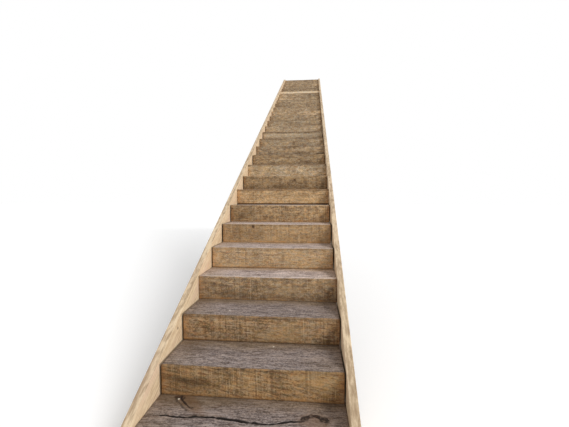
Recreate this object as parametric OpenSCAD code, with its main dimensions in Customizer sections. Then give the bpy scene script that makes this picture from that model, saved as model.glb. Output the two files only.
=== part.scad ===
// A straight flight of outdoor steps made of heavy sawn timber sleepers.
// Each sleeper is one step: its top is the tread and its front is the riser.
// It sits on the back of the one below, and raked boards close both sides.
// X runs across the flight, Y up the slope and Z upwards, in millimetres.
// The origin is at the middle of the underside of the lowest sleeper.

/* [Flight] */
// Number of steps, with one sleeper to a step
step_count = 29; // [6:1:36]
// How far a sleeper sits on the one below it, front to back
lap = 25; // [15:1:60]
// How far a sleeper may stand out of line, front or back
set_out = 2; // [0:0.5:4]

/* [Sleepers] */
// Length of a full sleeper, and so the clear width between the boards
sleeper_l = 895; // [700:5:1500]
// Depth of a sleeper, front to back
sleeper_d = 300; // [240:5:360]
// Height of a sleeper, and so the rise of a step
sleeper_h = 150; // [110:5:200]
// Rounding of the worn front edge of the tread
nosing_r = 9; // [5:0.5:16]
// Rounding of the other long edges, as sawn and weathered
edge_r = 5; // [2:0.5:8]
// Widest gap between the end of a short sleeper and its board
end_gap = 10; // [2:0.5:14]

/* [Wear] */
// Depth of the trodden hollow at the front edge
wear_depth = 1.5; // [1:0.5:8]
// Width of the trodden hollow at the front edge
wear_w = 560; // [300:10:640]

/* [Drying checks] */
// How many in a hundred of the sleepers above the lowest have opened into a check
checked_share = 50; // [0:5:100]
// Length of a usual drying check along the tread
check_l = 280; // [200:10:560]
// Width of a check where it gapes most
check_w = 3; // [2:0.5:7]
// Depth of a check
check_depth = 20; // [5:1:40]
// How far a check strays off a straight line
check_stray = 10; // [0:1:16]
// Length of the one long check in the lowest sleeper
long_check_l = 780; // [500:10:840]
// How far the long check strays off a straight line
long_check_stray = 43; // [0:1:45]
// Width of the long check where it gapes most
long_check_w = 7; // [2:0.5:10]
// Length of a split in the end grain, outwards from the heart
split_l = 52; // [25:1:54]
// Width of a split in the end grain where it gapes most
split_w = 4; // [1:0.5:6]
// How far a split runs into the sleeper from its end
split_depth = 45; // [10:1:90]

/* [Side boards] */
// Thickness of a side board
board_t = 38; // [22:1:60]
// Depth of a side board, square to its edges
board_d = 250; // [180:5:300]
// How far the top edge of a board stands above the nosings
board_up = 20; // [5:1:60]
// Number of boards in the length of one side
board_count = 3; // [1:1:4]
// Open joint between two boards, end to end
board_joint = 3; // [1:0.5:8]
// Rounding of the long edges of a board
board_edge_r = 3; // [1:0.5:8]

/* [Hidden] */
going = sleeper_d - lap;
// The lowest riser, with the origin half a sleeper behind it
front = -sleeper_d / 2;
pitch = atan(sleeper_h / going);
run = (step_count - 1) * going + sleeper_d;
total_rise = step_count * sleeper_h;
board_top = total_rise + board_up;
// How far a cutter reaches past the face that it opens
over = 10;
// Bare tread left between the trodden hollow and the next riser
wear_margin = 10;
// The back of the hollow starts this little above the tread, so that it fades out
wear_lift = 0.2;
wear_points = 14;
check_points = 16;
splits = 3;
// Sound wood round the heart, inside the splits
heart_r = 6;
// Every few sleepers one is full length and touches both boards
tight_every = 4;
timber_seed = 41;
flat_arc_n = 72;

function two_digits(n) = str(n < 10 ? "0" : "", n);
function step_name(i) = str("step_", two_digits(i));
function board_name(side, k) = str(side < 0 ? "left" : "right", "_board_", k);

// A number from 0 to 1 that stays with one sleeper: i is its step and k tells its uses apart
function own(i, k) = rands(0, 1, k + 1, timber_seed + i)[k];
function own_between(i, k, low, high) = low + (high - low) * own(i, k);

// The step whose sleeper ends behind joint k of the boards: 0 is the foot and board_count the head
function joint_step(k) = 1 + round((step_count - 1) * k / board_count);
function takes_a_joint(i) = len([for (k = [0:board_count]) if (joint_step(k) == i) k]) > 0;
function is_tight(i) = takes_a_joint(i) || i % tight_every == 0;
function end_gap_of(i, k) = is_tight(i) ? 0 : end_gap * own_between(i, k, 0.55, 1);

// Where a sleeper's riser stands: the first and the last are exactly in line
function riser_y(i) =
    front + (i - 1) * going + (i == 1 || i == step_count ? 0 : set_out * own_between(i, 3, -1, 1));

function is_checked(i) = own(i, 49) * 100 < checked_share;

// Cross-section of a sleeper: front to back along x and upwards along y
module sleeper_section() {
    difference() {
        square([sleeper_d, sleeper_h]);
        outside_of_edge(nosing_r, 0, sleeper_h, 0, 1);
        outside_of_edge(edge_r, sleeper_d, sleeper_h, 1, 1);
        outside_of_edge(edge_r, 0, 0, 0, 0);
        outside_of_edge(edge_r, sleeper_d, 0, 1, 0);
    }
}

// What a rounding of radius r takes off the corner at (x, y); right and top say which corner it is
module outside_of_edge(r, x, y, right, top) {
    translate([x, y])
        mirror([right, 0])
            mirror([0, top])
                difference() {
                    translate([-over, -over]) square(r + over);
                    translate([r, r]) circle(r, $fn = flat_arc_n);
                }
}

// The hollow that feet wear in a tread: full depth at the nosing, fading out before the next riser
module trodden_hollow(middle) {
    reach = going - set_out * 2 - wear_margin;
    tilt = atan((wear_depth + wear_lift) / reach);
    translate([middle, reach, sleeper_h + wear_lift])
        rotate([tilt, 0, 0])
            rotate([90, 0, 0])
                linear_extrude(reach + over)
                    polygon(concat(
                        [for (n = [0:wear_points]) hollow_point(n / wear_points)],
                        [[wear_w / 2, wear_depth + over], [-wear_w / 2, wear_depth + over]]
                    ));
}

// A point on the bottom of the hollow, s from 0 to 1 across it
function hollow_point(s) = [wear_w * (s - 0.5), wear_depth * pow(cos(180 * s), 2)];

// A drying check: a wandering slit that gapes in the middle and closes at both ends
module drying_check(l, half_w, stray, phase, turns) {
    step = 1 / check_points;
    translate([0, 0, sleeper_h - check_depth])
        linear_extrude(check_depth + over)
            polygon(concat(
                [for (s = [0:step:1]) check_side(s, half_w, l, stray, phase, turns)],
                [for (s = [1 - step:-step:step]) check_side(s, -half_w, l, stray, phase, turns)]
            ));
}

// A point on one side of a check, s from 0 to 1 along it
function check_side(s, half_w, l, stray, phase, turns) = [
    l * s,
    stray * s * s * sin(phase + 360 * turns * s) + half_w * sin(180 * s)
];

// The check of a usual sleeper runs in from one end or lies in the middle of the tread
module usual_check(i, l) {
    from = own(i, 5) < 0.5 ? -l / 2 - over : own_between(i, 6, -l / 2 + over, l / 2 - check_l - over);
    y = own_between(i, 7, 0.3, 0.72) * going;
    translate([from, y, 0])
        drying_check(check_l * own_between(i, 8, 0.6, 1), check_w / 2, check_stray, 360 * own(i, 9), 1.6);
}

// The lowest sleeper has one check nearly from end to end, half way back on the tread
module long_check() {
    translate([-long_check_l / 2 - over * 4, going * 0.475, 0])
        drying_check(long_check_l, long_check_w / 2, long_check_stray, 214, 1.82);
}

// Splits in the end grain, star-like about the heart of the log, which stays sound
module end_splits(i, k) {
    heart = [own_between(i, k, 0.42, 0.58) * sleeper_d, sleeper_h / 2];
    first = 360 * own(i, k + 1);
    translate([0, heart[0], heart[1]])
        for (n = [0:splits - 1])
            rotate([first + n * 360 / splits + own_between(i, k + 2 + n, -25, 25), 0, 0])
                rotate([90, 0, 90])
                    linear_extrude(split_depth + over)
                        polygon([
                            [heart_r, 0],
                            [split_l / 2, -split_w / 2],
                            [split_l, 0],
                            [split_l / 2, split_w / 2]
                        ]);
}

// One step: a sawn sleeper with its worn tread, its drying checks and its split ends
module step(i) {
    left_gap = end_gap_of(i, 0);
    l = sleeper_l - left_gap - end_gap_of(i, 1);
    color([0.50, 0.40, 0.29] * own_between(i, 2, 0.86, 1.06))
        translate([left_gap / 2 - (sleeper_l - left_gap - l) / 2, riser_y(i), (i - 1) * sleeper_h])
            difference() {
                translate([-l / 2, 0, 0])
                    rotate([90, 0, 90])
                        linear_extrude(l) sleeper_section();
                trodden_hollow(own_between(i, 4, -0.06, 0.06) * sleeper_l);
                if (i == 1) long_check();
                else if (is_checked(i)) usual_check(i, l);
                translate([-l / 2 - over, 0, 0]) end_splits(i, 10);
                translate([l / 2 + over, 0, 0]) mirror([1, 0, 0]) end_splits(i, 16);
            }
}

// Where joint k lies along the top edge of the boards, measured up the pitch from the front of the flight
function joint_at(k) =
    ((joint_step(k) - 1) * going + sleeper_d / 2) * cos(pitch)
    + ((joint_step(k) - 0.5) * sleeper_h - sleeper_h - board_up) * sin(pitch);
function board_start(k) = k == 1 ? -run : joint_at(k - 1) + board_joint / 2;
function board_end(k) = k == board_count ? 2 * run : joint_at(k) - board_joint / 2;

// Cross-section of a side board: its thickness along x and its depth along y, from the top edge down
module board_section() {
    difference() {
        translate([0, -board_d]) square([board_t, board_d]);
        outside_of_edge(board_edge_r, 0, 0, 0, 1);
        outside_of_edge(board_edge_r, board_t, 0, 1, 1);
        outside_of_edge(board_edge_r, 0, -board_d, 0, 0);
        outside_of_edge(board_edge_r, board_t, -board_d, 1, 0);
    }
}

// A raked board on the sleeper ends: cut plumb and level at the foot and at the head of the flight
module side_board(side, k) {
    color([0.74, 0.62, 0.44])
        mirror([side < 0 ? 1 : 0, 0, 0])
            intersection() {
                translate([sleeper_l / 2, front, sleeper_h + board_up])
                    rotate([pitch, 0, 0])
                        translate([0, board_end(k), 0])
                            rotate([90, 0, 0])
                                linear_extrude(board_end(k) - board_start(k)) board_section();
                translate([sleeper_l / 2 - over, front, 0])
                    cube([board_t + 2 * over, run, board_top]);
            }
}

for (i = [1:step_count])
    step(i);
for (side = [-1, 1], k = [1:board_count])
    side_board(side, k);
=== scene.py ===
"""Outdoor steps of heavy timber sleepers between two raked side boards.

Metres, X across the flight, Y up the slope and Z upwards, with the origin
under the middle of the lowest sleeper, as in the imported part.
"""
import math
import random

import bmesh
import bpy
from mathutils import Matrix, Vector, noise


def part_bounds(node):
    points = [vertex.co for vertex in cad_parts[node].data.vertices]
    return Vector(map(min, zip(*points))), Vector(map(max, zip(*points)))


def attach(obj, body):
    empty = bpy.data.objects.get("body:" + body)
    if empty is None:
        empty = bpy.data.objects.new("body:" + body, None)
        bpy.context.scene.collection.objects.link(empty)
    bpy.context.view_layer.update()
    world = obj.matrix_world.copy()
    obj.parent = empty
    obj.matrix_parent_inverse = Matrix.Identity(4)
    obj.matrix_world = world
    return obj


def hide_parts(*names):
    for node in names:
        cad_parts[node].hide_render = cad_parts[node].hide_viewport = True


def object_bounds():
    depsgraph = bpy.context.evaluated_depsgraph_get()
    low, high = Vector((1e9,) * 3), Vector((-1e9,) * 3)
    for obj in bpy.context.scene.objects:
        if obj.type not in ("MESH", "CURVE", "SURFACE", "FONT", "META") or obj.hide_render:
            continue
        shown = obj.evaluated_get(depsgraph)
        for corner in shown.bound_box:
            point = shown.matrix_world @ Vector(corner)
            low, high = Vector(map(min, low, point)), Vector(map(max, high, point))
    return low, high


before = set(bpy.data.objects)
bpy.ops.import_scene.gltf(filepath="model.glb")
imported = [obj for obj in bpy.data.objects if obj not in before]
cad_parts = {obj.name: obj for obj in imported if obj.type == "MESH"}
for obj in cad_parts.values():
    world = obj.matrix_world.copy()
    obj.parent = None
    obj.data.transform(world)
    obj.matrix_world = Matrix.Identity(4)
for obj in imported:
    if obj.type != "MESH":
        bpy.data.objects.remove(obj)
part_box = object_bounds()

# The camera
# It stands on the flight some steps below the lowest one in view, at eye height,
# and looks up the flight, a little to the left and a little down.
EYE = Vector((0.287, -1.339, 1.1))
TURN_LEFT = math.radians(5.136)
TILT_DOWN = math.radians(2.53)
PICTURE_WIDTH = 569
FOCAL_PIXELS = 320.6
MIDDLE_PIXELS_LEFT = 1.5
SENSOR_WIDTH = 36
VIEW_REACH = 200


def in_scene(name, data):
    """A new object in the scene, from its camera, mesh or light."""
    thing = bpy.data.objects.new(name, data)
    bpy.context.scene.collection.objects.link(thing)
    return thing


camera = in_scene("camera", bpy.data.cameras.new("camera"))
camera.location = EYE
camera.rotation_euler = (math.pi / 2 - TILT_DOWN, 0, TURN_LEFT)
camera.data.sensor_width = SENSOR_WIDTH
camera.data.lens = SENSOR_WIDTH * FOCAL_PIXELS / PICTURE_WIDTH
camera.data.shift_x = MIDDLE_PIXELS_LEFT / PICTURE_WIDTH
camera.data.clip_end = VIEW_REACH
bpy.context.scene.camera = camera


# The sleepers
# Each step is one heavy beam, band sawn on all faces and left to weather: trodden
# hollow on top, split along the grain as it dried, and laid on the back of the
# beam below with nothing between them.
NOSING_R = 0.009
EDGE_R = 0.005
END_R = 0.003
EDGE_SEGMENTS = 4
# The hollow that feet wear in a tread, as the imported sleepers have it
HOLLOW_DEPTH = 0.0015
HOLLOW_LIFT = 0.0002
HOLLOW_W = 0.56
HOLLOW_REACH = 0.261
# Where a packed sleeper has points of its hollow only: this far down the nosing, and this far off its ends
NOSING_TOP = 0.006
OFF_ENDS = 0.002
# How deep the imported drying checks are, how far they stay off the long edges, and how exactly they are read
CHECK_DEPTH = 0.02
CHECK_MARGIN = 0.03
SAME_LEVEL = 0.0004
# A check whose first point is wider than this runs out through the sleeper's end
OPEN_END = 0.0003
# The rows of mesh from the middle of a check outwards: how far past its lip, how deep and how dark
CHECK_ROWS = ((0.0, 0.016, 1.0), (0.0, 0.004, 0.95), (0.002, 0.001, 0.75), (0.006, 0.0002, 0.25))
# Half the width at which a check gapes in full, and how far its wandering pulls the tread beside it along
FULL_GAPE = 0.0008
CHECK_PULL = 0.075
# How far a check jogs aside from grain line to grain line
CHECK_JOG = 0.0028
# How far a check that meets a knot turns aside, over what length, and how soon it then closes
CHECK_TURN = 0.013
TURN_LENGTH = 0.09
CLOSING_LENGTH = 0.02
# How uneven the wood has become, how far its grain stands out on a tread and a riser, and a knot's groove
SWELL = 0.0012
TREAD_GRAIN = 0.0007
RISER_GRAIN = 0.0004
KNOT_GROOVE = 0.0018
# How far before the next riser the grain of a tread ends, and how far before it that grain is still full
GRAIN_ENDS = 0.004
GRAIN_FULL = 0.012
# How far above its foot the grain of a riser is full
FOOT_CLEAR = 0.004
# Where the dark side of a knot begins and where it is fully dark, in half widths from the knot's middle
DARK_SIDE = (-0.4, 0.1)
# A vertex this near to a sleeper's top or front is part of that face or its rounding, or of the flat top
FACE_REACH = NOSING_R * 1.01
FLAT_REACH = 1e-4
# How deep the nosing is dented, and how far from its edge that reaches
DENT_DEPTH = 0.0012
DENT_REACH = 0.03
# The darkest that stains and the painted shade in the nosing's dents may get
DARKEST_STAIN_AND_SHADE = 2.0
# How many of the steps are seen from near by, and how many up to the middle distance
NEAR_STEPS = 6
MIDDLE_STEPS = 14

steps = sorted(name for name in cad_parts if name.startswith("step_"))
first_low, first_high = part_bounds(steps[0])
last_low, last_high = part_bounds(steps[-1])
SLEEPER_H = first_high.z - first_low.z
SLEEPER_D = first_high.y - first_low.y
CLEAR_W = first_high.x - first_low.x
GOING = (last_low.y - first_low.y) / (len(steps) - 1)


def smooth_step(low, high, value):
    """0 below low, 1 above high and a soft S between them; low may be the larger."""
    share = min(1.0, max(0.0, (value - low) / (high - low)))
    return share * share * (3 - 2 * share)


def beam(corners, radii, cuts, way, stations, end_r):
    """A beam with eased edges: its outline is drawn out along way, then closed and eased at both ends.

    cuts are the rows between the corners, one number for each side of the outline.
    """
    bm = bmesh.new()
    outline = [bm.verts.new(corner) for corner in corners]
    for corner, after in zip(outline, outline[1:] + outline[:1]):
        bm.edges.new((corner, after))
    for corner, radius in zip(outline, radii):
        bmesh.ops.bevel(bm, geom=[corner], offset=radius, offset_type="OFFSET", segments=EDGE_SEGMENTS,
                        profile=0.5, affect="VERTICES", material=-1)
    sides = sorted(bm.edges, key=lambda e: e.calc_length())[-len(corners):]
    for corner, after, rows in zip(corners, corners[1:] + corners[:1], cuts):
        middle = (Vector(corner) + Vector(after)) / 2
        side = min(sides, key=lambda e: ((e.verts[0].co + e.verts[1].co) / 2 - middle).length)
        bmesh.ops.subdivide_edges(bm, edges=[side], cuts=rows)
        sides.remove(side)
    gap = way / stations
    bmesh.ops.spin(bm, geom=bm.verts[:] + bm.edges[:], cent=corners[0], axis=(1, 0, 0), dvec=gap,
                   angle=0, steps=stations)
    bmesh.ops.holes_fill(bm, edges=[e for e in bm.edges if e.is_boundary], sides=0)
    centre = sum((Vector(c) for c in corners), Vector()) / len(corners)
    across = Vector([0.0 if way[n] else max(abs(c[n] - centre[n]) for c in corners) for n in range(3)])
    along = way.normalized()
    # Where the stations at an end go: how far from the end, and how far inwards from each face
    eased = ((0.0, end_r), (end_r * 0.3, end_r * 0.3), (end_r, 0.0))
    for v in bm.verts:
        run = (v.co - centre).dot(along)
        from_end = min(run, way.length - run)
        station = round(from_end / gap.length)
        if station < len(eased):
            place, inset = eased[station]
            v.co += along * (place - from_end) * (1 if run < way.length / 2 else -1)
            for n in range(3):
                if across[n]:
                    v.co[n] -= (v.co[n] - centre[n]) / across[n] * inset
    bmesh.ops.recalc_face_normals(bm, faces=bm.faces[:])
    return bm


def check_line(node, low, high):
    """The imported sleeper's check as (x, middle y, half width) along it, read off the slit's floor."""
    floor = high.z - CHECK_DEPTH
    found = {}
    for vertex in node.data.vertices:
        x, y, z = vertex.co
        if abs(z - floor) < SAME_LEVEL and low.y + CHECK_MARGIN < y < high.y - CHECK_MARGIN:
            found.setdefault(round(x, 4), set()).add(y)
    return [(x, (min(ys) + max(ys)) / 2, (max(ys) - min(ys)) / 2) for x, ys in sorted(found.items())]


def at_check(line, x):
    """(middle y, half width) of a check at x, by straight steps between the points of its line."""
    first_x, first_y, first_w = line[0]
    if x <= first_x:
        return first_y, first_w if first_w > OPEN_END else 0.0
    for (x0, y0, w0), (x1, y1, w1) in zip(line, line[1:]):
        if x <= x1:
            share = (x - x0) / (x1 - x0)
            return y0 + (y1 - y0) * share, w0 + (w1 - w0) * share
    return line[-1][1], 0.0


def hollow_middle(node, low, high):
    """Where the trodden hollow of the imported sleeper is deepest, across the flight."""
    places = [v.co for v in node.data.vertices]
    nosing = [at for at in places if at.z > high.z - NOSING_TOP and at.y < low.y + NOSING_R]
    xs = [at.x for at in nosing if low.x + OFF_ENDS < at.x < high.x - OFF_ENDS]
    return (min(xs) + max(xs)) / 2


def hollow_depth(x, back, hollow_x):
    """How deep the trodden hollow is at a place on the tread."""
    if abs(x - hollow_x) >= HOLLOW_W / 2:
        return 0.0
    raised = HOLLOW_DEPTH * math.sin(math.pi * (x - hollow_x) / HOLLOW_W) ** 2
    return max(0.0, (HOLLOW_DEPTH + HOLLOW_LIFT) * (1 - back / HOLLOW_REACH) - HOLLOW_LIFT - raised)


def grain_height(x, across, log):
    """How far the hard grain stands out of weathered wood, from about -1 to 1."""
    broad = noise.noise(Vector((x * 1.7, across * 70, log * 31)))
    fine = noise.noise(Vector((x * 4.5, across * 190, log * 47)))
    return 0.6 * broad + 0.4 * fine


def blot(x, across, spot):
    """How dark a stain or the painted shade of a dent is at a place: spot is where it lies, its two half
    sizes and how dark it is.
    """
    at_x, at_across, half_x, half_across, dark = spot
    away = ((x - at_x) / half_x) ** 2 + ((across - at_across) / half_across) ** 2
    return dark * math.exp(-away)


def knot_groove(x, back, knot):
    """How deep in the groove round a knot's rim a place on the tread is, from 0 to 1.

    The knot is drawn out along its lean, and the groove opens on one side of it only.
    """
    knot_x, knot_back, knot_up, size, lean, side = knot
    if knot_up < SLEEPER_H:
        return 0.0
    away = Vector((x - knot_x, back - knot_back, 0))
    far = math.sqrt(away.length_squared - away.dot(Vector(lean)) ** 2) / size
    return math.exp(-((far - 1) ** 2) * 24) * smooth_step(*DARK_SIDE, away.dot(Vector(side)) / size)


def nosing_dent(x, aside, nose, notches, log):
    """How far the front edge of a tread is dented in at a place that is as far as nose from the edge."""
    rough = noise.noise(Vector((x * 16, log * 23, 0.5))) + 0.5 * noise.noise(Vector((x * 45, log * 23, 3)))
    dent = DENT_DEPTH * max(0.0, rough - 0.22)
    for notch_x, half_w, deep in notches:
        dent += deep * math.exp(-((aside - notch_x) / half_w) ** 2)
    return dent * smooth_step(DENT_REACH, DENT_REACH / 5, nose)


def ragged_check(line, line_end, x, aside, log):
    """(middle y, half width) of a check at x as the grain lets it run: it jogs, and its sides are torn."""
    at, half = at_check(line, x)
    jog = 5 * noise.noise(Vector((x * 11, log * 11, 4)))
    half *= smooth_step(line_end + CLOSING_LENGTH, line_end, aside) * (0.4 + 0.6 * min(1.0, abs(jog)))
    half *= 1 + 0.5 * noise.noise(Vector((x * 38, log * 11, 9)))
    at += CHECK_JOG * math.tanh(jog) + half * 0.6 * noise.noise(Vector((x * 60, log * 11, 7)))
    at -= CHECK_TURN * smooth_step(line_end - TURN_LENGTH, line_end, aside)
    return at, half


def weather(bm, number, log, knots, row_gap):
    """Moves a sleeper's vertices to the worn shape, always inwards, and marks their place in the beam."""
    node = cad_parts[steps[number - 1]]
    low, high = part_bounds(steps[number - 1])
    line = check_line(node, low, high)
    line_end = CHECK_ENDS.get(number, CLEAR_W)
    hollow_x = hollow_middle(node, low, high)
    place = bm.verts.layers.float_vector.new("timber")
    split = bm.verts.layers.float.new("split")
    stain_and_shade = bm.verts.layers.float.new("stain_and_shade")
    middle_x = (low.x + high.x) / 2
    flat_top = high.z - FLAT_REACH
    if line:
        check_y = sum(y for x, y, w in line) / len(line)
        row_y = min((v.co.y for v in bm.verts if v.co.z > flat_top), key=lambda y: abs(y - check_y))
    for v in bm.verts:
        x, y, z = v.co
        aside, back, up = x - middle_x, y - low.y, z - low.z
        v[place] = (aside, back, up)
        depth = Vector()
        swell = SWELL * (noise.noise(Vector((x * 2.3, back * 5, up * 5 + log * 17))) - 0.6)
        if z > high.z - FACE_REACH:
            depth.z -= hollow_depth(x, back, hollow_x)
            clear = smooth_step(GOING - GRAIN_ENDS, GOING - GRAIN_FULL, back)
            depth.z += clear * (TREAD_GRAIN * (grain_height(x, back, log) - 1) + swell)
            for knot in knots:
                depth.z -= KNOT_GROOVE * knot_groove(aside, back, knot)
        if y < low.y + FACE_REACH:
            clear = smooth_step(0.0, FOOT_CLEAR, up)
            depth.y -= clear * (RISER_GRAIN * (grain_height(x, up + 3.0, log) - 1) + swell)
        nose = math.hypot(back, SLEEPER_H - up)
        if nose < DENT_REACH:
            dent = nosing_dent(x, aside, nose, NOTCHES.get(number, ()), log)
            depth.y += dent
            depth.z -= dent
        if line and z > flat_top and NOSING_R < back < SLEEPER_D - EDGE_R:
            at, half = ragged_check(line, line_end, x, aside, log)
            shift = (at - check_y) * smooth_step(CHECK_PULL, 0.0, abs(y - row_y))
            row = round((y - row_y) / row_gap)
            gape = smooth_step(0.0, FULL_GAPE, half)
            if gape and abs(row) < len(CHECK_ROWS):
                past, deep, dark = CHECK_ROWS[abs(row)]
                side = (row > 0) - (row < 0)
                lip = max(0.2, 1.0 + 1.5 * noise.noise(Vector((x * 55, side * 5 + log * 13, 2))))
                shift += (side * (half + past * lip) - (y - row_y)) * gape
                depth.z -= deep * gape
                v[split] = dark * gape
            depth.y += shift
        # On the riser and its nosing the spots are stains, and on step 2 the painted shade in the dents of
        # the nosing; on the tread they are earth
        spots, across = (STAINS_AND_SHADE, up) if back < NOSING_R else (EARTH, back)
        dark = sum(blot(aside, across, spot) for spot in spots.get(number, ()))
        v[stain_and_shade] = min(DARKEST_STAIN_AND_SHADE, dark)
        v.co += depth


class Wire:
    """One output of a node, which Python's arithmetic works on by adding Math nodes."""

    def __init__(self, finish, socket):
        self.finish = finish
        self.socket = socket

    def __abs__(self):
        return self.finish.maths("ABSOLUTE", self)

    def __add__(self, other):
        return self.finish.maths("ADD", self, other)

    def __radd__(self, other):
        return self.finish.maths("ADD", other, self)

    def __sub__(self, other):
        return self.finish.maths("SUBTRACT", self, other)

    def __rsub__(self, other):
        return self.finish.maths("SUBTRACT", other, self)

    def __mul__(self, other):
        return self.finish.maths("MULTIPLY", self, other)

    def __rmul__(self, other):
        return self.finish.maths("MULTIPLY", other, self)

    def __truediv__(self, other):
        return self.finish.maths("DIVIDE", self, other)

    def __rtruediv__(self, other):
        return self.finish.maths("DIVIDE", other, self)

    def __pow__(self, other):
        return self.finish.maths("POWER", self, other)

    def __rpow__(self, other):
        return self.finish.maths("POWER", other, self)


class Finish:
    """A material or the studio in the making: each method adds a node and gives back its output."""

    def __init__(self, owner, shader="Principled BSDF", **settings):
        owner.use_nodes = True
        self.owner = owner
        self.tree = owner.node_tree
        self.shader = self.tree.nodes[shader]
        for socket, value in settings.items():
            self.shader.inputs[socket.replace("_", " ")].default_value = value

    def add(self, kind, settings=None, inputs=None, output=0):
        """Adds a node of any type, sets it up, joins or fills its inputs and returns one output."""
        node = self.tree.nodes.new(kind)
        for name, value in (settings or {}).items():
            setattr(node, name, value)
        for key, value in (inputs or {}).items():
            self.feed(node.inputs[key], value)
        return Wire(self, node.outputs[output])

    def feed(self, socket, value):
        """Joins a wire to a socket, or writes a plain value into it."""
        if isinstance(value, Wire):
            self.tree.links.new(value.socket, socket)
        else:
            socket.default_value = value

    def maths(self, operation, a, b=0.0):
        return self.add("ShaderNodeMath", {"operation": operation}, {0: a, 1: b})

    def larger(self, a, b):
        return self.maths("MAXIMUM", a, b)

    def vector(self, operation, a, b, output=0):
        return self.add("ShaderNodeVectorMath", {"operation": operation}, {0: a, 1: b}, output)

    def joined(self, x, y, z):
        return self.add("ShaderNodeCombineXYZ", None, {0: x, 1: y, 2: z})

    def parts(self, vector):
        node = self.add("ShaderNodeSeparateXYZ", None, {0: vector}).socket.node
        return [Wire(self, node.outputs[n]) for n in range(3)]

    def attribute(self, name, output="Fac"):
        return self.add("ShaderNodeAttribute", {"attribute_name": name}, None, output)

    def noise(self, vector, along, across, detail=2.0, roughness=0.5):
        """Cloudy noise from 0 to 1; along and across say how many blotches fit in a metre of the wood."""
        stretched = self.vector("MULTIPLY", vector, (along, across, across))
        return self.add("ShaderNodeTexNoise", None,
                        {"Vector": stretched, "Scale": 1.0, "Detail": detail, "Roughness": roughness})

    def ring_tones(self, rings):
        """Tones that change from ring to ring; rings says how many growth rings out a place lies."""
        return self.add("ShaderNodeTexNoise", {"noise_dimensions": "1D"},
                        {"W": rings, "Scale": 1.0, "Detail": 2.0})

    def rise(self, value, low, high, to_low=0.0, to_high=1.0):
        """A soft step from to_low to to_high as value goes from low to high."""
        return self.add("ShaderNodeMapRange", {"interpolation_type": "SMOOTHSTEP"},
                        {"Value": value, "From Min": low, "From Max": high,
                         "To Min": to_low, "To Max": to_high})

    def mix(self, a, b, factor, blend="MIX"):
        """Colour a going to colour b as factor goes from 0 to 1."""
        return self.add("ShaderNodeMix", {"data_type": "RGBA", "blend_type": blend},
                        {"Factor": factor, 6: a, 7: b}, 2)

    def measure(self, operation, a, b):
        """A number from two vectors, such as their distance or their dot product."""
        return self.vector(operation, a, b, "Value")

    def bump(self, height, distance, strength):
        return self.add("ShaderNodeBump", None,
                        {"Height": height, "Distance": distance, "Strength": strength})

    def colour(self, red, green, blue):
        """A colour given as it looks on screen, from 0 to 255, as the shader wants it."""
        screen = [channel / 255 for channel in (red, green, blue)]
        return (*[c / 12.92 if c < 0.04045 else ((c + 0.055) / 1.055) ** 2.4 for c in screen], 1.0)

    def coats(self, colour, *coats):
        """Lays coats over a colour: each has its red, green and blue on screen and how far it covers."""
        for red, green, blue, cover in coats:
            colour = self.mix(colour, self.colour(red, green, blue), cover)
        return colour

    def finished(self, colour, roughness, normal):
        """Joins what varies over the surface to the shader and gives back the material."""
        self.feed(self.shader.inputs["Base Color"], colour)
        self.feed(self.shader.inputs["Roughness"], roughness)
        self.feed(self.shader.inputs["Normal"], normal)
        return self.owner


KNOT_LETTERS = "ab"


def knot_marks(f, place, own):
    """What a sleeper's knots do to its wood: how they turn the grain, their core, groove and rim."""
    swirl, core, groove, rim = 0, 0, 0, 0
    broken = f.rise(f.noise(own, 70, 70, 1), 0.32, 0.5, 0.5, 1)
    lump = f.noise(own, 45, 45, 1)
    wobble = f.noise(own, 50, 50) * 0.3 + 0.85
    for letter in KNOT_LETTERS:
        away = f.vector("SUBTRACT", place, f.attribute("knot_" + letter, "Vector"))
        lean = f.attribute("lean_" + letter, "Vector")
        side = f.attribute("side_" + letter, "Vector")
        size = f.attribute("size_" + letter)
        along = f.measure("DOT_PRODUCT", away, lean)
        far = (f.measure("DOT_PRODUCT", away, away) - along * along) ** 0.5 * wobble / size
        sided = f.rise(f.measure("DOT_PRODUCT", away, side) / size, *DARK_SIDE)
        sided = sided * f.rise(abs(along) / size, 3.3, 2.5)
        broad = f.rise(size, 0.022, 0.034, 0, 0.26)
        ring = f.rise(abs(far - 1) - (lump - 0.5) * 0.5 - broad, 0.32, 0.1) * sided
        ring = ring * f.rise(size, 0.01, 0.018, 0.35, 1)
        drawn_out = f.rise(f.measure("DOT_PRODUCT", lean, lean), 0.7, 0.85)
        outer_ring = f.rise(abs(far - 2), 0.4, 0.1) * sided * drawn_out * 0.6
        sound = f.rise(size, 0.01, 0.014, 0.85, 0.1)
        swirl = swirl + f.rise(far, 4, 0)
        core = f.larger(f.rise(far, 1.05, 0.75) * sound, core)
        groove = f.larger(f.larger(ring, outer_ring) * broken, groove)
        rim = f.larger(f.rise(far, 2.2, 1), rim)
    return swirl, core, groove, rim


# What the colour is multiplied by where the wood is more ruddy, and where it is more grey
RUDDY_CAST = (1.05, 0.965, 0.85, 1)
GREY_CAST = (0.955, 1.02, 1.16, 1)


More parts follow.
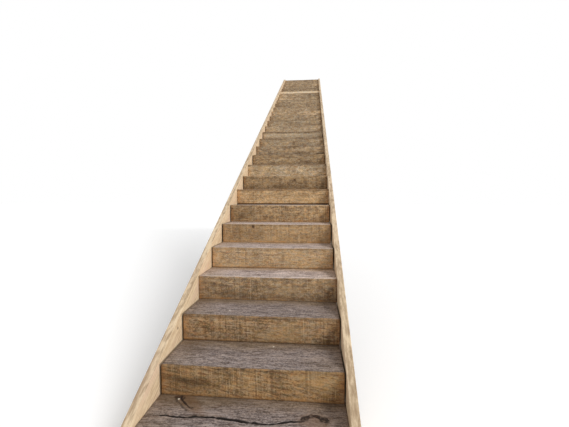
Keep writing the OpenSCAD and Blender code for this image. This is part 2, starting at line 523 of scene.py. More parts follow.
def sleeper_timber():
    """Sawn timber: golden brown on the risers, silvered on the treads, damp and dark underneath."""
    f = Finish(bpy.data.materials.new("sleeper_timber"), Specular_IOR_Level=0.25)
    place = f.attribute("timber", "Vector")
    log = f.attribute("log")
    stain_and_shade = f.attribute("stain_and_shade")
    dry = f.attribute("dry")
    own = f.vector("ADD", place, f.joined(log * 9, log * 5, log * 7))
    x, back, up = f.parts(place)
    own_x, own_back, own_up = f.parts(own)
    normal_x = f.parts(f.add("ShaderNodeNewGeometry", output="Normal"))[0]
    ragged = (f.noise(own, 40, 90) - 0.5) * 0.004
    tread = f.rise(back + ragged, 0.0045, 0.0085) * f.rise(up, SLEEPER_H - 0.012, SLEEPER_H - 0.008)
    riser = f.rise(back, 0.014, 0.009)
    end = f.rise(abs(normal_x), 0.6, 0.85)

    # The growth rings about the heart, and the knots that turn them aside
    bend = f.noise(own, 1.1, 5)
    heart_back = back - 0.15 + (bend - 0.5) * 0.09
    heart_up = up - 0.055 + (bend - 0.5) * 0.05
    radius = (heart_back * heart_back + heart_up * heart_up) ** 0.5
    knot_swirl, knot_core, knot_line, knot_rim = knot_marks(f, place, own)
    rings = radius * 150 + knot_swirl * 5 + log * 40
    ring_tone = f.ring_tones(rings)
    late_wood = f.maths("FRACT", rings) ** 4

    # The grain, the marks of the saw, which stand nearly upright on a riser, and the drying splits
    streaky, vivid, slope = f.parts(f.attribute("grain", "Vector"))
    leaning = f.joined(own_x, own_back, own_up + x * slope + (bend - 0.5) * 0.05)
    hair = f.noise(own, 40, 700)
    fibre = f.noise(own, 48, 230)
    speck = f.noise(own, 110, 150, 3, 0.8)
    split = f.rise(f.attribute("split") + (speck - 0.5) * 0.8, 0.3, 0.8)
    streak = f.noise(leaning, 9, 95, 3, 0.65)
    mottle = f.noise(own, 42, 60, 4, 0.75)
    uneven = mottle - 0.5
    band = f.noise(own, 7, 24, 4, 0.7)
    blotch = f.noise(own, 9, 18)
    cloud = f.noise(own, 3, 7)
    saw_place = f.joined(own_x + up * 0.03, own_up * 0.2, own_back * 0.2)
    saw = f.noise(saw_place, 135, 4, 1)
    saw_line = f.rise(f.noise(saw_place, 120, 3, 1), 0.58, 0.68)
    saw_line = saw_line * f.rise(f.noise(own, 30, 18, 1), 0.4, 0.6)
    saw_here = f.rise(f.noise(own, 6, 8, 1), 0.36, 0.56, 0.15, 1) * f.attribute("sawn")
    hairline = f.rise(f.noise(leaning, 22, 120), 0.59, 0.69)
    drying = f.rise(abs(f.noise(own, 4, 60, 1) - 0.5), 0.01, 0.003)
    drying = drying * f.rise(f.noise(own, 3, 14, 1), 0.54, 0.62)

    # The riser's brown, from golden to a dried-out tan, with its spots, saw marks and stains, and the painted
    # shade in the dents of the nosing
    shade = (streak - 0.5) * streaky * 0.34 + mottle * 0.24 + speck * 0.44
    shade = shade + fibre * 0.06 + ring_tone * 0.08 - 0.41
    coarse = f.attribute("coarse")
    shade = shade * vivid + 0.5 + uneven * coarse
    pale = f.mix(f.colour(132, 113, 87), f.colour(212, 193, 159), f.rise(shade, 0.4, 0.6))
    hue = f.noise(own, 46, 60, 3, 0.7)
    patchy = f.noise(own, 22, 34, 3, 0.5)
    brown = f.mix(f.colour(96, 75, 48), f.colour(198, 162, 118), f.rise(shade, 0.4, 0.6))
    brown = f.mix(brown, f.colour(170, 132, 82), f.rise(cloud, 0.48, 0.75) * 0.3)
    brown = f.coats(
        f.mix(brown, pale, dry),
        (220, 188, 140, f.rise(cloud, 0.48, 0.72) * 0.25),
        (92, 72, 48, f.rise(cloud, 0.5, 0.26) * 0.25),
        (182, 126, 84, f.rise(hue, 0.52, 0.7) * 0.36),
        (128, 110, 62, f.rise(hue, 0.48, 0.32) * 0.34),
        (82, 62, 46, f.rise(patchy, 0.42, 0.68) * f.attribute("spotting")),
        (100, 78, 54, f.rise(blotch, 0.48, 0.7) * coarse * 3),
        (84, 60, 40, f.rise(saw, 0.46, 0.34) * saw_here * 0.34),
        (214, 182, 140, f.rise(saw, 0.55, 0.68) * saw_here * 0.18),
        (220, 190, 148, saw_line * saw_here * 0.44),
        (68, 50, 28, stain_and_shade * f.rise(mottle, 0.3, 0.6, 0.6, 1) * 0.78),
    )

    # What the riser's own edges do to it: warmer towards its ends, darker towards its foot, painted shade
    # along its top edge, a pale crest, a warmer foot and the dark joint line with painted shade in the crease
    warm_ends = f.rise(abs(x) + uneven * 0.05, 0.396, 0.446) * (1 - dry)
    gloom = f.rise(up + uneven * 0.04, 0.095, 0) * f.attribute("gloom")
    under = SLEEPER_H - up + uneven * 0.01
    edge = f.attribute("edge")
    crest, crest_from, crest_to = f.parts(f.attribute("crest", "Vector"))
    crest = crest * f.rise(under, crest_from, crest_from + 0.006)
    crest = crest * f.rise(under, crest_to + 0.008, crest_to)
    foot = f.rise(up + uneven * 0.02, 0.02, 0.006)
    joint = f.attribute("joint")
    # The dark joint line at the riser's foot, widened by painted shade in the crease
    joint_line_and_shade = f.rise(up, joint * 0.008 + 0.008, joint * 0.006 + 0.001) * joint
    brown = f.coats(
        brown,
        (166, 112, 64, warm_ends * f.rise(cloud, 0.35, 0.6, 0.08, 0.4)),
        (74, 56, 38, gloom),
        # painted shade along the top edge of the riser, under the nosing
        (92, 70, 48, f.rise(under, 0.03, 0.004) * edge),
        (226, 206, 172, crest),
        (176, 130, 80, foot * f.rise(blotch, 0.35, 0.6, 0.1, 0.55)),
        (44, 32, 22, joint_line_and_shade),
    )

    # The tread's silver, browner where nobody treads, with earth, a worn lip that also holds a painted
    # highlight, painted shade along its front edge and its back, and drying splits
    long_grain = f.noise(own, 12, 120, 3, 0.75)
    grey = long_grain * 0.34 + band * 0.16 + mottle * 0.1 + speck * 0.36
    grey = grey + fibre * 0.04 + ring_tone * 0.05 - 0.025
    silver = f.mix(f.colour(90, 77, 72), f.colour(193, 176, 167), f.rise(grey, 0.415, 0.585))
    ochre = f.mix(f.colour(102, 82, 60), f.colour(176, 152, 122), f.rise(grey, 0.37, 0.63))
    worn = f.rise(abs(x + (cloud - 0.5) * 0.3), 0.44, 0.22)
    earthy = f.rise(back + (cloud - 0.5) * 0.16, 0.14, 0.28)
    filth_and_shade = f.rise(stain_and_shade, 1, 1.6)
    # Painted shade along the back of the tread, in the corner under the next riser
    heel = f.rise(back + uneven * 0.012, GOING - 0.022, GOING - 0.002)
    # The pale front edge, worn and with a painted highlight
    lip = f.rise(back + uneven * 0.03, 0.04, 0.008) * f.attribute("lip")
    silver = f.coats(
        f.mix(silver, ochre, f.larger(earthy * 0.8, 0.35 - worn * 0.35)),
        (84, 72, 66, f.rise(blotch, 0.56, 0.82) * 0.35),
        (112, 92, 70, stain_and_shade * f.rise(mottle, 0.3, 0.6, 0.5, 1) * 0.75),
        (64, 50, 38, filth_and_shade * 0.8),
        (86, 62, 42, heel * f.attribute("heel")),
        # painted shade along the front edge of the tread, by the nosing
        (96, 80, 66, f.rise(back, 0.016, 0.005) * edge * 0.6),
        (214, 198, 184, lip),
        (62, 48, 40, drying * 0.6),
    )

    # The damp back and underside, and the end grain with its rays
    damp = f.mix(f.colour(84, 66, 50), f.colour(132, 108, 84), f.rise(shade, 0.38, 0.62))
    damp = f.mix(damp, f.colour(62, 51, 42), f.rise(blotch, 0.45, 0.7) * 0.6)
    ray_place = f.joined(0, heart_back / (radius + 0.004), heart_up / (radius + 0.004))
    end_rays = f.noise(ray_place, 1, 9)
    end_grain = f.mix(f.colour(92, 70, 50), f.colour(150, 122, 92), f.rise(ring_tone, 0.35, 0.65))
    end_grain = f.mix(end_grain, f.colour(52, 38, 28), f.rise(end_rays, 0.6, 0.72) * 0.7)

    # All of these laid together, and over them the knots, hairlines, a painted glint and the open checks
    colour = f.mix(damp, f.mix(brown, f.attribute("tone", "Color"), 1, "MULTIPLY"), riser)
    colour = f.mix(colour, f.mix(silver, f.attribute("tread_tone", "Color"), 1, "MULTIPLY"), tread)
    ruddy = f.noise(own, 24, 60, 4, 0.75)
    cast = f.mix(GREY_CAST, RUDDY_CAST, f.rise(ruddy, 0.4, 0.6))
    colour = f.mix(colour, cast, riser * 0.75 + 0.25, "MULTIPLY")
    # A painted glint: a small pale spot where light catches the tread
    painted_glint = f.rise(f.measure("DISTANCE", place, f.attribute("painted_glint", "Vector")), 0.006, 0.004)
    colour = f.coats(
        f.mix(colour, end_grain, end),
        (58, 44, 33, late_wood * 0.06),
        (112, 82, 54, knot_rim * (0.5 - filth_and_shade * 0.45)),
        (74, 52, 36, knot_core),
        (30, 21, 16, knot_line * 0.92),
        (104, 66, 42, hairline * (0.5 - tread * 0.25)),
        (228, 218, 200, painted_glint * 0.85),
        (26, 19, 14, split),
    )

    height = fibre * 0.4 + hair * 0.2 + ring_tone * 0.25 + mottle * 0.4 + speck * 0.4
    height = height + saw * riser * saw_here
    height = height - hairline - knot_core * 0.3 - knot_line - drying * tread
    return f.finished(colour, 0.9 - tread * 0.08 - fibre * 0.08, f.bump(height, 0.0012, 0.8))


sleeper_wood = sleeper_timber()
# The rows of mesh on the riser, tread, back and underside, and the stations along: near, middling and far
ROWS_BY_NEARNESS = (
    ((60, 140, 8, 14), 140),
    ((38, 90, 6, 10), 64),
    ((26, 60, 5, 8), 44),
)
# How much coarser the riser's mottling is drawn, for the same three
COARSENESS = (0, 0.12, 0.15)
# How pale the riser and the tread of the lowest twelve are, and between what the rest are picked. The treads
# from the fourth up are paler than the three below them, a painted sheen of light at a grazing angle
PALENESS = (
    (1, 0.72), (0.93, 0.73), (0.92, 0.78), (0.96, 1.37), (1.2, 1.34), (1.16, 1.36),
    (1.12, 1.2), (1.47, 1.3), (0.96, 1.2), (1.21, 1.3), (0.98, 1.2), (0.95, 1.2),
)
OTHER_RISERS = (0.94, 1.07)
OTHER_TREADS = (1.15, 1.3)
# How much paler than that the risers are above a certain step, and some of them, by number, besides
FAR_STEP = 19
FAR_PALER = 0.07
PALER = {
    14: -0.06, 15: 0.07, 17: 0.03, 18: 0.36, 19: 0.18, 22: 0.12, 23: 0.06, 24: 0.08, 25: -0.1, 26: 0.03,
    27: 0.11, 28: 0.05,
}
# How golden the risers of the lowest twelve are, or how pinkish where it is below 0, and all the others
WARMTH = (0, 0.03, -0.07, -0.06, -0.04, 0, 0, 0.03, 0.04, -0.02, 0.02, -0.05)
OTHER_WARMTH = -0.04
# How far those risers have dried to a paler, greyer tan, and all the others
DRYNESS = (0, 0, 0.05, 0.3, 0.35, 0.2, 0.25, 0.3, 0.35, 0.85, 0.6, 0.7)
OTHER_DRYNESS = 0.8
# How spotted those risers are, and between what the rest are picked
SPOTTING = (0.2, 0.15, 0.12, 0.5, 0.12, 0.25, 0.5, 0.15, 0.5, 0.15, 0.35, 0.45)
OTHER_SPOTTING = (0.2, 0.45)
# How plainly the saw has marked the risers of the lowest nine, and all the others
SAWN = (0.5, 1, 0.9, 0.75, 0.6, 0.65, 0.8, 0.4, 0.7)
OTHER_SAWN = 0.35
# How much paler the riser and the tread get from left to right, by the step's number
TILTS = {
    "usual": (0.03, 0), 1: (0.03, 0.05), 2: (0, -0.05), 3: (-0.03, -0.06), 4: (0, 0.16),
    5: (0.06, 0.03), 6: (0.03, 0.02), 7: (0.34, 0), 14: (-0.2, 0), 15: (-0.05, 0), 18: (0.12, 0),
    19: (0.08, 0), 22: (-0.35, 0), 23: (-0.4, 0),
}
# The grain of the riser: how streaky, how strong over all and how far it leans
GRAIN = {
    "usual": (0.7, 1, 0), 2: (1, 0.95, 0.18), 3: (0.9, 1, 0.05), 4: (0.35, 1, 0),
    5: (0.5, 0.75, 0), 6: (0.5, 0.75, 0), 7: (0.5, 0.95, 0), 8: (0.7, 0.8, 0), 9: (0.5, 1, 0),
    15: (0.6, 0.8, 0), 17: (0.6, 0.85, 0),
}
# How pale the front edge of the tread is, worn by feet and with a painted highlight
WORN_LIPS_AND_HIGHLIGHTS = {"usual": 0.3, 1: 0, 2: 0, 3: 0, 5: 0.2}
# A pale band along the riser: how pale, and from how far to how far under the tread
CRESTS = {"usual": (0, 0, 0), 14: (0.3, 0.03, 0.08), 24: (0.8, 0.013, 0.05)}
# How dark the joint line is where the riser meets the tread below it, with its painted shade in the crease,
# and between what the rest are picked
JOINTS = {
    2: 0.3, 3: 0.5, 4: 0, 5: 0.4, 6: 0, 7: 0, 8: 1, 9: 0.6, 10: 0, 11: 0.9, 12: 0.9, 13: 0.1,
    14: 0.4, 15: 0.3,
}
OTHER_JOINTS = (0.1, 0.6)
# How much painted shade darkens the back of a tread, in the corner under the next riser, what a dark joint
# line behind it adds, and how dark a picked one counts as
HEEL_SHADE = 0.15
JOINT_SHADE = 0.55
MIDDLING_JOINT = 0.4
# How much painted shade darkens the riser along its top edge and the tread along its front edge, and how much
# darker the riser is towards its foot
EDGES = {"usual": 0.4, 2: 0.35, 3: 0.45, 4: 0.15, 7: 0.1, 8: 0.7, 9: 0.05, 10: 0.7, 13: 0.6, 14: 0.6}
GLOOMS = {"usual": 0, 3: 0.15, 4: 0.35, 9: 0.2, 11: 0.35, 12: 0.55, 17: 0.2, 19: 0.3, 20: 0.4}
# Stains on the riser, and on step 2 the painted shade in the two dents of its nosing: how far across, how far
# up, half their width and height, and how dark
STAINS_AND_SHADE = {
    2: (
        (-0.42, 0.087, 0.035, 0.012, 0.8), (-0.335, 0.077, 0.05, 0.015, 0.7),
        (-0.255, 0.064, 0.05, 0.018, 0.7), (-0.36, 0.075, 0.16, 0.09, 0.42),
        # These two are painted shade in the dents of the nosing
        (-0.123, 0.147, 0.012, 0.005, 1.2), (-0.041, 0.147, 0.015, 0.006, 1.4),
    ),
    4: (
        (-0.06, 0.094, 0.035, 0.02, 0.6), (-0.26, 0.052, 0.05, 0.02, 0.4), (-0.41, 0.11, 0.02, 0.03, 0.5),
    ),
    5: (
        (-0.115, 0.08, 0.018, 0.05, 0.4), (0.083, 0.075, 0.008, 0.05, 0.6),
        (0.11, 0.1, 0.035, 0.005, 0.5),
    ),
    6: (
        (-0.13, 0.085, 0.035, 0.045, 0.45), (-0.045, 0.132, 0.006, 0.008, 0.6),
        (-0.35, 0.07, 0.06, 0.04, 0.2),
    ),
    7: ((-0.34, 0.06, 0.11, 0.045, 0.55),),
    8: ((0, 0.115, 0.1, 0.025, 0.35),),
    9: (
        (-0.04, 0.035, 0.1, 0.025, 0.8), (-0.33, 0.03, 0.12, 0.03, 0.45),
        (0.16, 0.06, 0.04, 0.04, 0.5),
    ),
}
# Earth trodden into the tread: how far across, how far back, half its width and depth, and how much
EARTH = {
    1: (
        (-0.36, 0.25, 0.13, 0.05, 0.9), (-0.12, 0.26, 0.12, 0.03, 0.5), (-0.35, 0.264, 0.016, 0.01, 1.6),
        (-0.318, 0.258, 0.005, 0.012, 1.6), (-0.21, 0.141, 0.045, 0.007, 1.1),
        (-0.13, 0.146, 0.03, 0.004, 0.8),
    ),
    2: ((-0.36, 0.2, 0.1, 0.06, 0.6),),
    3: ((-0.42, 0.24, 0.05, 0.05, 1), (-0.22, 0.25, 0.1, 0.02, 0.6)),
}
# Knots: how far across, back and up, half their width, which way they are drawn out and which side is dark
ROUNDISH = (0.64, 0, 0)
UPRIGHT = (0, 0, 0.6)
ALL_ROUND = (0, 0, 0)
KNOTS = {
    1: (
        (-0.289, 0.239, SLEEPER_H, 0.02, (0.711, -0.65, 0), (-0.675, -0.738, 0)),
        (0.302, 0.144, SLEEPER_H, 0.032, (0.684, 0, 0), (0, 1, 0)),
    ),
    6: ((-0.1875, 0, 0.13, 0.01, UPRIGHT, ALL_ROUND),),
    9: ((0.105, 0, 0.105, 0.008, ROUNDISH, ALL_ROUND),),
}
# The other knots are small and lie on a tread or on the hidden back: their size, share and places
OTHER_KNOTS = (0.005, 0.01)
TREAD_KNOT_SHARE = 0.4
KNOTS_ACROSS = (-0.4, 0.4)
KNOTS_BACK = (0.03, 0.24)
KNOTS_UP = (0.02, 0.12)
# How far across a check runs before it meets the rim of a knot
CHECK_ENDS = {1: 0.258}
# Dents in the nosing: how far across, half their width and how deep
NOTCHES = {2: ((-0.123, 0.007, 0.004), (-0.041, 0.01, 0.005))}
# A painted glint, a small pale spot, on the tread: how far across, back and up, and between what the rest are
# picked
PAINTED_GLINTS = {1: (-0.341, 0.25, SLEEPER_H), 2: (0.082, 0.237, SLEEPER_H)}
PAINTED_GLINTS_ACROSS = (-0.4, 0.4)
PAINTED_GLINTS_BACK = (0.05, 0.2)
# A face with this many corners or more is the flat end of a beam
END_CORNERS = 12


def of_step(table, number):
    """The entry of the step with this number in a table, or the usual one."""
    return table.get(number, table["usual"])


def mesh_piece(name, bm, material, rounded=True):
    """Turns a finished bmesh into an object that rides on the part, shaded smooth if it is rounded."""
    for face in bm.faces:
        face.smooth = rounded and len(face.verts) < END_CORNERS
    mesh = bpy.data.meshes.new(name)
    bm.to_mesh(mesh)
    bm.free()
    mesh.materials.append(material)
    piece = in_scene(name, mesh)
    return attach(piece, "root")


def stamp(bm, name, value, tilt=0):
    """Gives every vertex of a piece the same number or vector, for its finish to read.

    With a tilt it rises by that share from one end of the piece to the other.
    """
    layers = bm.verts.layers.float_vector if isinstance(value, tuple) else bm.verts.layers.float
    layer = layers.new(name)
    for v in bm.verts:
        v[layer] = Vector(value) * (1 + tilt * v.co.x / CLEAR_W) if tilt else value


for number, node_name in enumerate(steps, start=1):
    low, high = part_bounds(node_name)
    nearness = (number > NEAR_STEPS) + (number > MIDDLE_STEPS)
    rows, stations = ROWS_BY_NEARNESS[nearness]
    pick = random.Random(number)
    log = pick.random()
    knots = list(KNOTS.get(number, ()))
    while len(knots) < len(KNOT_LETTERS):
        size = pick.uniform(*OTHER_KNOTS)
        if number > NEAR_STEPS and pick.random() < TREAD_KNOT_SHARE:
            back, up = pick.uniform(*KNOTS_BACK), SLEEPER_H
        else:
            back, up = SLEEPER_D, pick.uniform(*KNOTS_UP)
        knots.append((pick.uniform(*KNOTS_ACROSS), back, up, size, ROUNDISH, ALL_ROUND))
    if number <= len(PALENESS):
        tone, tread_tone = PALENESS[number - 1]
        warmth, dryness, spotting = WARMTH[number - 1], DRYNESS[number - 1], SPOTTING[number - 1]
    else:
        tone = pick.uniform(*OTHER_RISERS) + (number > FAR_STEP) * FAR_PALER + PALER.get(number, 0)
        tread_tone = pick.uniform(*OTHER_TREADS)
        warmth, dryness, spotting = OTHER_WARMTH, OTHER_DRYNESS, pick.uniform(*OTHER_SPOTTING)

    corners = (
        (low.x, low.y, low.z), (low.x, low.y, high.z), (low.x, high.y, high.z), (low.x, high.y, low.z),
    )
    blank = beam(corners, (EDGE_R, NOSING_R, EDGE_R, EDGE_R), rows, Vector((high.x - low.x, 0, 0)),
                 stations, END_R)
    row_gap = (SLEEPER_D - NOSING_R - EDGE_R) / (rows[1] + 1)
    weather(blank, number, log, knots, row_gap)

    stamp(blank, "log", log)
    riser_tilt, tread_tilt = of_step(TILTS, number)
    stamp(blank, "tone", (tone, tone * (1 - warmth * 0.2), tone * (1 - warmth)), riser_tilt)
    stamp(blank, "tread_tone", (tread_tone,) * 3, tread_tilt)
    stamp(blank, "dry", dryness)
    stamp(blank, "spotting", spotting)
    stamp(blank, "sawn", SAWN[number - 1] if number <= len(SAWN) else OTHER_SAWN)
    stamp(blank, "coarse", COARSENESS[nearness])
    tables = {"grain": GRAIN, "lip": WORN_LIPS_AND_HIGHLIGHTS, "crest": CRESTS, "edge": EDGES, "gloom": GLOOMS}
    for mark, table in tables.items():
        stamp(blank, mark, of_step(table, number))
    stamp(blank, "joint", JOINTS.get(number, pick.uniform(*OTHER_JOINTS)))
    stamp(blank, "heel", HEEL_SHADE + JOINT_SHADE * JOINTS.get(number + 1, MIDDLING_JOINT))
    other_painted_glint = (pick.uniform(*PAINTED_GLINTS_ACROSS), pick.uniform(*PAINTED_GLINTS_BACK), SLEEPER_H)
    stamp(blank, "painted_glint", PAINTED_GLINTS.get(number, other_painted_glint))
    for letter, (*middle, size, lean, side) in zip(KNOT_LETTERS, knots):
        stamp(blank, "knot_" + letter, tuple(middle))
        stamp(blank, "size_" + letter, size)
        stamp(blank, "lean_" + letter, lean)
        stamp(blank, "side_" + letter, side)
    sleeper = mesh_piece("sleeper_" + node_name[-2:], blank, sleeper_wood)
    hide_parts(node_name)


# The side boards
# Sawn boards on edge close both sides, three to a side, butted end to end behind a
# sleeper. Each was ripped square, cut to the rake at the foot and at the head, and
# screwed through its outer face into the sleeper ends.
BOARD_R = 0.003
BOARD_END_R = 0.002
BOARD_D = 0.25
# The rows of mesh on the face to the left, the top edge, the face to the right and the lower edge
BOARD_ROWS = (38, 5, 38, 5)
BOARD_STATION = 0.03
# How much longer than needed the lowest and highest boards are before they are cut
BOARD_SPARE = 0.1
# How far the sawn faces and the top edge are out of flat, and how far their grain stands out
FACE_WAVE = 0.0004
FACE_GRAIN = 0.0002
TOP_WAVE = 0.0006
TOP_GRAIN = 0.0003
# The screws in each sleeper end: how far behind its front and how far under its top
SCREW_PLACES = ((0.09, 0.062), (0.19, 0.072))
# A small dead knot has fallen out of the left board: where, and what its reach each way is divided by
HOLE_PLACE = (-0.4475, 0.346, 0.388)
HOLE_SHAPE = (1, 0.85, 0.55)
board_names = sorted(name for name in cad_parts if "_board_" in name)
part_low, part_high = (Vector(corner) for corner in part_box)
BOARD_UP = part_high.z - last_high.z
PITCH = math.atan2(SLEEPER_H, GOING)
rake = Vector((0, math.cos(PITCH), math.sin(PITCH)))
top_edge_start = Vector((0, first_low.y, SLEEPER_H + BOARD_UP))


def board_timber():
    """Pale sawn softwood, lightly weathered, with dark knots and a silvered top edge."""
    f = Finish(bpy.data.materials.new("board_timber"), Specular_IOR_Level=0.25)
    place = f.add("ShaderNodeTexCoord", output="Object")
    x, y, z = f.parts(place)
    normal_x, normal_y, normal_z = f.parts(f.add("ShaderNodeNewGeometry", output="Normal"))
    run = y * rake.y + z * rake.z
    square = z * rake.y - y * rake.z
    side = f.maths("GREATER_THAN", x, 0)
    own = f.joined(run, square + side * 3, x)
    outer = f.rise(normal_x * (side * 2 - 1), 0.5, 0.8)
    top = f.rise(normal_z * rake.y - normal_y * rake.z, 0.5, 0.8)
    cut = f.rise(abs(normal_y * rake.y + normal_z * rake.z), 0.25, 0.42)

    # The grain, the marks of the saw, the drying splits, and the knots with the hole that one has left
    bend = f.noise(own, 0.9, 6)
    ring_tone = f.ring_tones(square * 90 + bend * 9)
    fibre = f.noise(own, 30, 330)
    streak = f.noise(own, 3, 55, 3)
    mottle = f.noise(own, 18, 60, 3, 0.65)
    cloud = f.noise(own, 2.5, 9)
    drying = f.rise(abs(f.noise(own, 2.2, 60, 1) - 0.5), 0.012, 0.003)
    drying = drying * f.rise(f.noise(own, 2, 12, 1), 0.5, 0.6)
    saw = f.noise(f.joined(run + square * 0.15, square * 0.1, x), 140, 4)
    cell_place = f.vector("MULTIPLY", f.vector("ADD", own, (0.35, 0, 0)), (3, 6, 3))
    cells = f.add("ShaderNodeTexVoronoi", None, {"Vector": cell_place, "Scale": 1})
    pick = f.parts(Wire(f, cells.socket.node.outputs["Color"]))[0]
    knotty = f.maths("GREATER_THAN", pick, 0.8)
    knot = f.rise(cells, 0.075, 0.05) * knotty
    knot_rim = f.rise(cells, 0.18, 0.07) * knotty
    hole_middle = Vector(HOLE_PLACE) * Vector(HOLE_SHAPE)
    hole = f.measure("DISTANCE", f.vector("MULTIPLY", place, HOLE_SHAPE), hole_middle)
    hole = f.rise(hole, 0.0055, 0.0035)

    # The wood: fresh on the inner face, weathered on the outer one and greyest along the top
    shade = streak * 0.22 + fibre * 0.14 + ring_tone * 0.24 + mottle * 0.4
    colour = f.coats(
        f.mix(f.colour(214, 184, 146), f.colour(250, 228, 192), f.rise(shade, 0.36, 0.64)),
        (238, 208, 180, f.rise(cloud, 0.45, 0.7) * 0.7),
        (176, 146, 112, f.rise(saw, 0.48, 0.34) * 0.12),
    )
    weathered = f.mix(f.colour(138, 116, 92), f.colour(210, 188, 158), f.rise(shade, 0.4, 0.6))
    exposed = f.larger(top * 0.75, outer * f.rise(cloud, 0.3, 0.7, 0.35, 0.9))
    soil = f.rise(square + (cloud - 0.5) * 0.1, -0.045, -0.115)
    step = f.maths("FLOOR", (y - first_low.y) / GOING)
    tread_z = (step + 1) * SLEEPER_H
    # Painted shade, with dirt, on the inner face below the tread's level, in the gap beside the sleeper ends
    gap_shade_and_dirt = f.rise(tread_z - z, -0.0005, 0.0025) * (1 - outer)
    colour = f.coats(
        f.mix(colour, weathered, exposed),
        (112, 88, 64, soil * outer * 0.6),
        (84, 66, 50, drying * outer * 0.55),
        (148, 112, 74, knot_rim * 0.6),
        (86, 58, 38, f.larger(knot * 0.85, hole)),
        (84, 62, 44, gap_shade_and_dirt * 0.65),
    )
    colour = f.mix(colour, f.mix(f.colour(136, 106, 74), f.colour(184, 154, 116), ring_tone), cut * 0.8)

    # Rust about the screws and below them
    rust = 0
    for screw_back, screw_down in SCREW_PLACES:
        aside = y - first_low.y - step * GOING - screw_back
        below = tread_z - screw_down - z
        screwed = f.maths("GREATER_THAN", step, 0.5) if screw_back > SLEEPER_D / 2 else 1
        trickle = f.rise(abs(aside + (mottle - 0.5) * 0.008), 0.01, 0.002)
        trickle = trickle * f.rise(below, 0, 0.01) * f.rise(below, 0.08, 0.01)
        bloom = f.rise((aside * aside + below * below) ** 0.5 + (mottle - 0.5) * 0.006, 0.022, 0.012)
        rust = f.larger(rust, f.larger(trickle * 0.7, bloom) * screwed)
    colour = f.mix(colour, f.colour(118, 72, 42), rust * outer * 0.55)
    height = fibre * 0.5 + saw * 0.3 + ring_tone * 0.3 + mottle * 0.3
    height = height - knot * 0.5 - hole * 2 - drying * outer
    return f.finished(colour, 0.86 - fibre * 0.1, f.bump(height, 0.0008, 0.7))


board_wood = board_timber()
# The plumb and level cuts at the foot and the head: a point of each, and which side of it is cut away
CUTS = ((part_low, (0, -1, 0)), (part_low, (0, 0, -1)), (part_high, (0, 1, 0)), (part_high, (0, 0, 1)))
for number, name in enumerate(board_names):
    low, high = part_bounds(name)
    runs = [(v.co - top_edge_start).dot(rake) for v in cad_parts[name].data.vertices]
    start = min(runs) - BOARD_SPARE * name.endswith("_1")
    length = max(runs) + BOARD_SPARE * name.endswith("_3") - start
    corners = (
        (low.x, start, -BOARD_D), (low.x, start, 0), (high.x, start, 0), (high.x, start, -BOARD_D),
    )
    blank = beam(corners, (BOARD_R,) * 4, BOARD_ROWS, Vector((0, length, 0)),
                 round(length / BOARD_STATION), BOARD_END_R)
    for v in blank.verts:
        x, run, square = v.co
        wave = noise.noise(Vector((x * 20 + number * 5, run * 1.5, square * 8)))
        grain = noise.noise(Vector((x * 90, run * 3, square * 160 + number * 7)))
        inwards = 1 if x < (low.x + high.x) / 2 else -1
        on_face = smooth_step(0, -0.004, square) * smooth_step(-BOARD_D, -BOARD_D + 0.004, square)
        v.co.x += inwards * on_face * (FACE_WAVE * (1 - wave) + FACE_GRAIN * (1 - grain))
        if square > -0.001:
            v.co.z -= TOP_WAVE * (1 + wave) + TOP_GRAIN * (1 + grain)
    bmesh.ops.rotate(blank, verts=blank.verts[:], cent=(0, 0, 0), matrix=Matrix.Rotation(PITCH, 3, "X"))
    bmesh.ops.translate(blank, verts=blank.verts[:], vec=top_edge_start)
    for at, outwards in CUTS:
        bmesh.ops.bisect_plane(blank, geom=blank.verts[:] + blank.edges[:] + blank.faces[:], dist=1e-6,
                               plane_co=at, plane_no=outwards, clear_outer=True)
        bmesh.ops.holes_fill(blank, edges=[e for e in blank.edges if e.is_boundary], sides=0)
    bmesh.ops.recalc_face_normals(blank, faces=blank.faces[:])
    board = mesh_piece(name.replace("_board_", "_side_board_"), blank, board_wood)
    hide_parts(name)


# The screws of the side boards
# Two coach screws to each sleeper end, driven through the board over a round washer:
# a hexagonal head of zinced steel, dulled, with patches of rust.
WASHER_R = 0.011
WASHER_T = 0.0018
HEAD_R = 0.0075
HEAD_H = 0.0052
# The washer and the head on it: radius, how far out it starts, thickness and number of sides
DISCS = ((WASHER_R, 0, WASHER_T, 20), (HEAD_R, WASHER_T, HEAD_H, 6))
# How much of its thickness the rim of each is rounded over
RIM_SHARE = 0.25


def screw_steel():
    """Dull zinc with a bloom of rust."""
    f = Finish(bpy.data.materials.new("screw_steel"), Metallic=0.85)
    place = f.add("ShaderNodeTexCoord", output="Object")
    speck = f.noise(place, 420, 420, 3, 0.6)
    patch = f.noise(place, 60, 60)
    rust = f.rise(speck * 0.5 + patch * 0.5, 0.46, 0.6)
    colour = f.mix(f.colour(150, 148, 142), f.colour(112, 66, 38), rust * 0.85)
    return f.finished(colour, rust * 0.35 + 0.48, f.bump(speck * (rust * 0.8 + 0.2), 0.0003, 0.6))


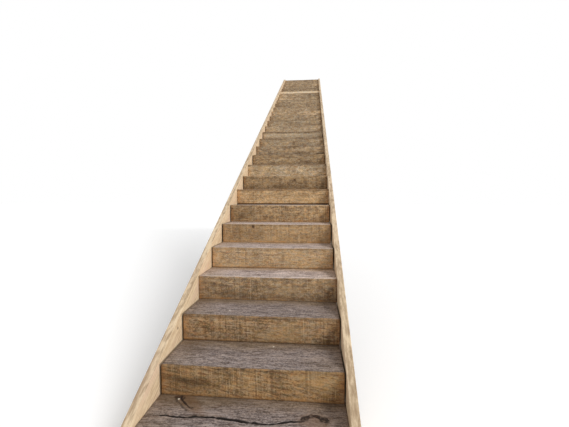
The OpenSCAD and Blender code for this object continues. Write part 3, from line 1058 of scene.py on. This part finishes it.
steel = screw_steel()
for side, side_name in ((-1, "left"), (1, "right")):
    screws = bmesh.new()
    outer = part_high.x if side > 0 else part_low.x
    for number, node_name in enumerate(steps):
        low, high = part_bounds(node_name)
        for screw, (back, down) in enumerate(SCREW_PLACES):
            # The lowest sleeper has the first of its two only
            if number == 0 and screw == 1:
                continue
            turn = random.Random(number * 4 + screw * 2 + side).uniform(0, math.pi / 3)
            at = Matrix.Translation((outer, low.y + back, high.z - down))
            at = at @ Matrix.Rotation(side * math.pi / 2, 4, "Y") @ Matrix.Rotation(turn, 4, "Z")
            for radius, base, height, sides in DISCS:
                middle = at @ Matrix.Translation((0, 0, base + height / 2))
                disc = bmesh.ops.create_cone(screws, cap_ends=True, segments=sides,
                                             radius1=radius, radius2=radius, depth=height, matrix=middle)
                edges = dict.fromkeys(e for v in disc["verts"] for e in v.link_edges)
                rim = [e for e in edges
                       if all(abs((at.inverted() @ v.co).z - base - height) < 1e-5 for v in e.verts)]
                bmesh.ops.bevel(screws, geom=rim, offset=height * RIM_SHARE, offset_type="OFFSET",
                                segments=2, profile=0.5, affect="EDGES", material=-1)
    piece = mesh_piece(side_name + "_screws", screws, steel, rounded=False)


# Floor, light and background
# A plain white floor under the flight, a soft lamp from the upper right and an even
# white studio all round, so that the finishes show about as they are.
FLOOR_REACH = 60
FLOOR_WHITE = (0.9, 0.9, 0.9, 1)
# What the floor sends to the camera besides, so that it looks as white as the studio
FLOOR_GLOW = (0.16, 0.16, 0.16, 1)
STUDIO_LIGHT = 0.64
LAMP_POWER = 1.9
LAMP_WIDTH = math.radians(24)
LAMP_FROM = Vector((0.66, -0.46, 0.62))

floor_bm = bmesh.new()
bmesh.ops.create_grid(floor_bm, x_segments=1, y_segments=1, size=FLOOR_REACH)
floor_mesh = bpy.data.meshes.new("floor")
floor_bm.to_mesh(floor_mesh)
floor_bm.free()
floor = in_scene("floor", floor_mesh)
floor.location.z = part_low.z

paint = Finish(bpy.data.materials.new("floor_paint"), Base_Color=FLOOR_WHITE, Roughness=1,
               Specular_IOR_Level=0, Emission_Strength=1)
to_camera = paint.add("ShaderNodeLightPath", output="Is Camera Ray")
paint.feed(paint.shader.inputs["Emission Color"], paint.mix((0, 0, 0, 1), FLOOR_GLOW, to_camera))
floor_mesh.materials.append(paint.owner)

lamp = in_scene("lamp", bpy.data.lights.new("lamp", "SUN"))
lamp.data.energy = LAMP_POWER
lamp.data.angle = LAMP_WIDTH
lamp.rotation_euler = LAMP_FROM.to_track_quat("Z", "Y").to_euler()

studio = Finish(bpy.data.worlds.new("studio"), "Background", Color=(1, 1, 1, 1))
to_camera = studio.add("ShaderNodeLightPath", output="Is Camera Ray")
to_gloss = studio.add("ShaderNodeLightPath", output="Is Glossy Ray")
seen = studio.larger(to_camera, to_gloss)
studio.feed(studio.shader.inputs["Strength"], studio.rise(seen, 0, 1, STUDIO_LIGHT, 1))
bpy.context.scene.world = studio.owner

bpy.context.scene.view_settings.view_transform = "Standard"
